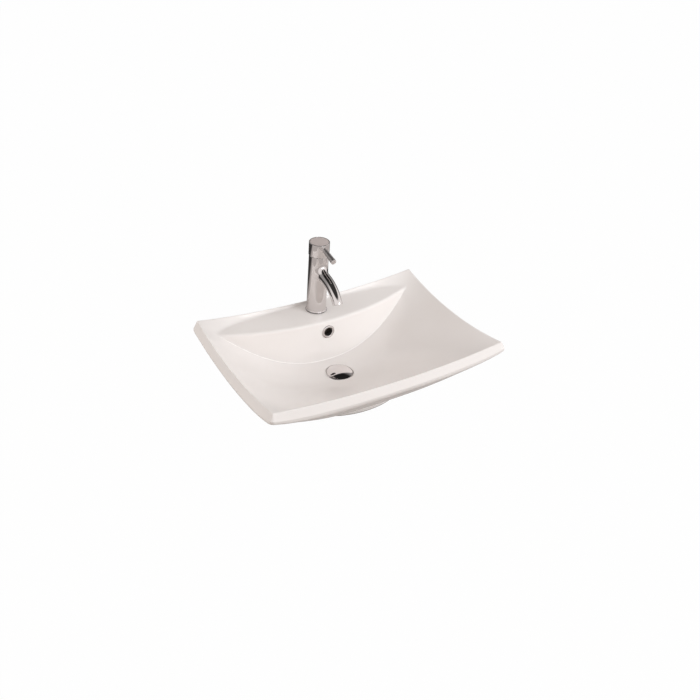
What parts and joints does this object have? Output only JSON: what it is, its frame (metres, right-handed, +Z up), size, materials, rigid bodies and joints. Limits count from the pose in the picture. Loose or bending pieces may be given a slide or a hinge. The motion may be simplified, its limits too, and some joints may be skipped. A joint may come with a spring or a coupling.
{
  "type": "counter-top washbasin with tap",
  "caption": "Counter-top ceramic washbasin with a sagging rim, rear tap deck, single-lever mixer tap, overflow ring and domed click waste.",
  "frame": {"origin": "on the waste axis, in the plane of the counter that the foot stands on", "axes": "+X to the right of a user, +Y to the back where the tap is, +Z up"},
  "size_m": [0.608, 0.398, 0.3775],
  "materials": {
    "china": "white glaze, high gloss",
    "chrome": "polished plating",
    "rubber": "matt black",
    "plastic": "white, moulded",
    "brass": "machined",
    "steel": "zinc plated",
    "disc_ceramic": "lapped"
  },
  "bodies": {
    "basin": {"basin_bowl": "china", "overflow_ring": "chrome", "waste_body": "chrome", "waste_flange_gasket": "rubber", "waste_back_gasket": "rubber", "waste_washer": "plastic", "waste_back_nut": "brass", "click_barrel": "brass", "tap_body": "chrome", "base_gasket": "rubber", "base_ring": "chrome", "fixing_stud": "steel", "fixing_gasket": "rubber", "fixing_plate": "steel", "fixing_nut": "brass", "aerator_housing": "chrome", "aerator_seal": "rubber", "aerator_insert": "plastic", "cartridge_seal": "rubber", "cartridge_housing": "plastic", "fixed_disc": "disc_ceramic", "cartridge_nut": "brass"},
    "mixing_carrier": {"cartridge_carrier": "plastic", "spindle_pin": "steel"},
    "handle": {"cartridge_spindle": "brass", "handle_cap": "chrome", "handle_top_disc": "chrome", "handle_lever": "chrome", "handle_grub_screw": "steel"},
    "mixing_disc": {"moving_disc": "disc_ceramic"},
    "waste_plug": {"waste_cap": "chrome", "cap_seal": "rubber", "plunger_stem": "brass"}
  },
  "joints": [
    {"name": "temperature_turn", "type": "hinge", "parent": "basin", "child": "mixing_carrier", "pos_m": [0, 0.125, 0.2635], "axis": [0, 0, 1], "range_deg": [-45, 45]},
    {"name": "lever_lift", "type": "hinge", "parent": "mixing_carrier", "child": "handle", "pos_m": [0, 0.125, 0.2635], "axis": [-1, 0, 0], "range_deg": [0, 20]},
    {"name": "disc_slide", "type": "slide", "parent": "mixing_carrier", "child": "mixing_disc", "axis": [0, -1, 0], "range_m": [0, 0.0025]},
    {"name": "waste_click", "type": "slide", "parent": "basin", "child": "waste_plug", "axis": [0, 0, 1], "range_m": [0, 0.01]}
  ],
  "couplings": [
    {"joint": "disc_slide", "follows": "lever_lift", "m_per_rad": 0.007}
  ]
}
